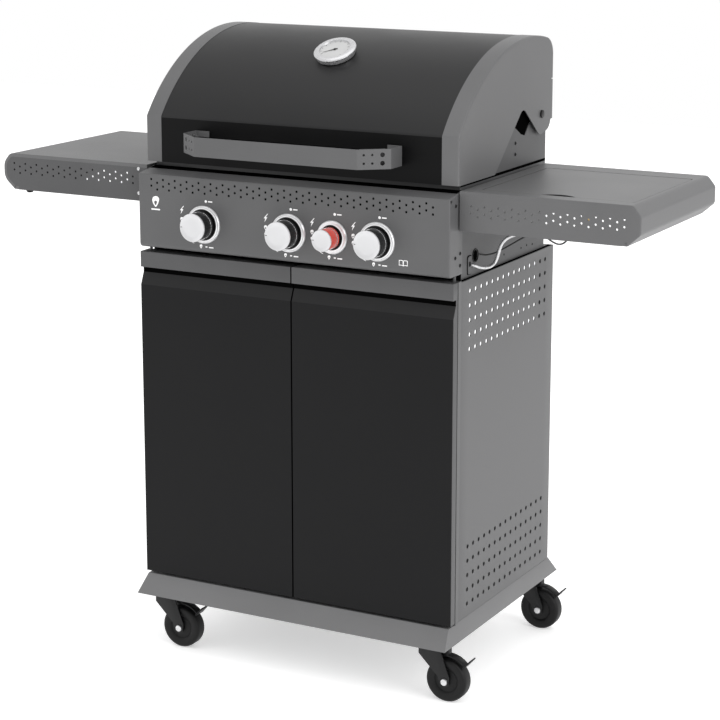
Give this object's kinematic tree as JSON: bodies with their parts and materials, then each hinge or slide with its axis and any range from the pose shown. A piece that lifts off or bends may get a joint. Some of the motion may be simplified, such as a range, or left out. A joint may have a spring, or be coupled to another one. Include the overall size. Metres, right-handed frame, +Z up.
{
  "type": "gas barbecue grill",
  "caption": "Gas barbecue grill on a wheeled cabinet, with a domed hinged lid, side shelves, a side burner under a flush lid and front knobs.",
  "frame": {"origin": "middle of the grill's footprint, on the floor", "axes": "+X to the grill's right as seen from the front, +Y to the rear, +Z up"},
  "size_m": [1.2312, 0.499, 1.0999],
  "materials": {
    "grey_paint": "powder coat, fine texture",
    "black_paint": "satin black powder coat",
    "lid_paint": "satin black powder coat on rolled sheet",
    "cast_iron": "matt enamelled cast iron",
    "stainless": "brushed",
    "chrome": "polished",
    "silver_knob": "silver satin",
    "side_knob": "silver face with a red skirt",
    "black_plastic": "moulded",
    "tyre": "moulded rubber tread",
    "brass": "machined",
    "hose": "silver grey hose",
    "wire": "insulated wire"
  },
  "bodies": {
    "cart": {"base_pan": "grey_paint", "side_panel_left": "grey_paint", "side_panel_right": "grey_paint", "rear_panel": "grey_paint", "rail_rear": "grey_paint", "control_panel": "grey_paint", "firebox_side_left": "grey_paint", "firebox_side_right": "grey_paint", "left_shelf": "grey_paint", "right_shelf": "grey_paint", "rail_front": "black_paint", "firebox": "cast_iron", "cooking_grate_left": "cast_iron", "cooking_grate_right": "cast_iron", "side_burner_bowl": "cast_iron", "side_burner_trivet": "cast_iron", "gas_manifold": "stainless", "burner_1": "stainless", "burner_2": "stainless", "burner_3": "stainless", "flame_tamer_1": "stainless", "flame_tamer_2": "stainless", "flame_tamer_3": "stainless", "warming_rack": "stainless", "lid_pivot_left": "stainless", "lid_pivot_right": "stainless", "side_burner_head": "brass", "side_burner_hose": "hose", "ignition_wire": "wire"},
    "lid": {"lid_shell": "lid_paint", "lid_end_cap_left": "grey_paint", "lid_end_cap_right": "grey_paint", "lid_handle": "grey_paint", "thermometer": "chrome"},
    "door_left": {"door_frame_left": "grey_paint", "door_panel_left": "black_paint"},
    "door_right": {"door_frame_right": "grey_paint", "door_panel_right": "black_paint"},
    "burner_lid": {"side_burner_lid": "grey_paint"},
    "tray": {"grease_tray": "stainless"},
    "stem_1": {"valve_stem_1": "stainless"},
    "knob_1": {"knob_1": "silver_knob"},
    "stem_2": {"valve_stem_2": "stainless"},
    "knob_2": {"knob_2": "silver_knob"},
    "stem_3": {"valve_stem_3": "stainless"},
    "knob_3": {"knob_3": "side_knob"},
    "stem_4": {"valve_stem_4": "stainless"},
    "knob_4": {"knob_4": "silver_knob"},
    "fork_front_left": {"caster_fork_front_left": "black_plastic"},
    "wheel_front_left": {"caster_wheel_front_left": "tyre"},
    "brake_front_left": {"caster_brake_front_left": "stainless"},
    "fork_front_right": {"caster_fork_front_right": "black_plastic"},
    "wheel_front_right": {"caster_wheel_front_right": "tyre"},
    "brake_front_right": {"caster_brake_front_right": "stainless"},
    "fork_rear_left": {"caster_fork_rear_left": "black_plastic"},
    "wheel_rear_left": {"caster_wheel_rear_left": "tyre"},
    "brake_rear_left": {"caster_brake_rear_left": "stainless"},
    "fork_rear_right": {"caster_fork_rear_right": "black_plastic"},
    "wheel_rear_right": {"caster_wheel_rear_right": "tyre"},
    "brake_rear_right": {"caster_brake_rear_right": "stainless"}
  },
  "joints": [
    {"name": "lid_hinge", "type": "hinge", "parent": "cart", "child": "lid", "pos_m": [0, 0.1555, 0.9615], "axis": [-1, 0, 0], "range_deg": [0, 85]},
    {"name": "door_left_hinge", "type": "hinge", "parent": "cart", "child": "door_left", "pos_m": [-0.2959, -0.1745, 0.43], "axis": [0, 0, -1], "range_deg": [0, 100]},
    {"name": "door_right_hinge", "type": "hinge", "parent": "cart", "child": "door_right", "pos_m": [0.2959, -0.1745, 0.43], "axis": [0, 0, 1], "range_deg": [0, 100]},
    {"name": "side_burner_lid_hinge", "type": "hinge", "parent": "cart", "child": "burner_lid", "pos_m": [0.4613, 0.123, 0.873], "axis": [-1, 0, 0], "range_deg": [0, 100]},
    {"name": "grease_tray_slide", "type": "slide", "parent": "cart", "child": "tray", "axis": [0, 1, 0], "range_m": [0, 0.25]},
    {"name": "knob_1_push", "type": "slide", "parent": "cart", "child": "stem_1", "axis": [0, 1, 0], "range_m": [0, 0.0035], "stiffness_N_per_m": 600, "springref_m": -0.002},
    {"name": "knob_1_turn", "type": "hinge", "parent": "stem_1", "child": "knob_1", "pos_m": [-0.168, -0.2215, 0.7825], "axis": [0, -1, 0], "range_deg": [0, 180]},
    {"name": "knob_2_push", "type": "slide", "parent": "cart", "child": "stem_2", "axis": [0, 1, 0], "range_m": [0, 0.0035], "stiffness_N_per_m": 600, "springref_m": -0.002},
    {"name": "knob_2_turn", "type": "hinge", "parent": "stem_2", "child": "knob_2", "pos_m": [0, -0.2215, 0.7825], "axis": [0, -1, 0], "range_deg": [0, 180]},
    {"name": "knob_3_push", "type": "slide", "parent": "cart", "child": "stem_3", "axis": [0, 1, 0], "range_m": [0, 0.0035], "stiffness_N_per_m": 600, "springref_m": -0.002},
    {"name": "knob_3_turn", "type": "hinge", "parent": "stem_3", "child": "knob_3", "pos_m": [0.084, -0.2215, 0.7825], "axis": [0, -1, 0], "range_deg": [0, 180]},
    {"name": "knob_4_push", "type": "slide", "parent": "cart", "child": "stem_4", "axis": [0, 1, 0], "range_m": [0, 0.0035], "stiffness_N_per_m": 600, "springref_m": -0.002},
    {"name": "knob_4_turn", "type": "hinge", "parent": "stem_4", "child": "knob_4", "pos_m": [0.168, -0.2215, 0.7825], "axis": [0, -1, 0], "range_deg": [0, 180]},
    {"name": "caster_front_left_swivel", "type": "hinge", "parent": "cart", "child": "fork_front_left", "pos_m": [-0.266, -0.1825, 0.095], "axis": [0, 0, 1], "continuous": true},
    {"name": "caster_front_left_wheel", "type": "hinge", "parent": "fork_front_left", "child": "wheel_front_left", "pos_m": [-0.236, -0.1825, 0.0375], "axis": [0, 1, 0], "continuous": true},
    {"name": "caster_front_left_brake", "type": "hinge", "parent": "fork_front_left", "child": "brake_front_left", "pos_m": [-0.2445, -0.1825, 0.087], "axis": [0, 1, 0], "range_deg": [0, 3]},
    {"name": "caster_front_right_swivel", "type": "hinge", "parent": "cart", "child": "fork_front_right", "pos_m": [0.266, -0.1825, 0.095], "axis": [0, 0, 1], "continuous": true},
    {"name": "caster_front_right_wheel", "type": "hinge", "parent": "fork_front_right", "child": "wheel_front_right", "pos_m": [0.296, -0.1825, 0.0375], "axis": [0, 1, 0], "continuous": true},
    {"name": "caster_front_right_brake", "type": "hinge", "parent": "fork_front_right", "child": "brake_front_right", "pos_m": [0.2875, -0.1825, 0.087], "axis": [0, 1, 0], "range_deg": [0, 3]},
    {"name": "caster_rear_left_swivel", "type": "hinge", "parent": "cart", "child": "fork_rear_left", "pos_m": [-0.266, 0.2085, 0.095], "axis": [0, 0, 1], "continuous": true},
    {"name": "caster_rear_left_wheel", "type": "hinge", "parent": "fork_rear_left", "child": "wheel_rear_left", "pos_m": [-0.236, 0.2085, 0.0375], "axis": [0, 1, 0], "continuous": true},
    {"name": "caster_rear_left_brake", "type": "hinge", "parent": "fork_rear_left", "child": "brake_rear_left", "pos_m": [-0.2445, 0.2085, 0.087], "axis": [0, 1, 0], "range_deg": [0, 3]},
    {"name": "caster_rear_right_swivel", "type": "hinge", "parent": "cart", "child": "fork_rear_right", "pos_m": [0.266, 0.2085, 0.095], "axis": [0, 0, 1], "continuous": true},
    {"name": "caster_rear_right_wheel", "type": "hinge", "parent": "fork_rear_right", "child": "wheel_rear_right", "pos_m": [0.296, 0.2085, 0.0375], "axis": [0, 1, 0], "continuous": true},
    {"name": "caster_rear_right_brake", "type": "hinge", "parent": "fork_rear_right", "child": "brake_rear_right", "pos_m": [0.2875, 0.2085, 0.087], "axis": [0, 1, 0], "range_deg": [0, 3]}
  ]
}
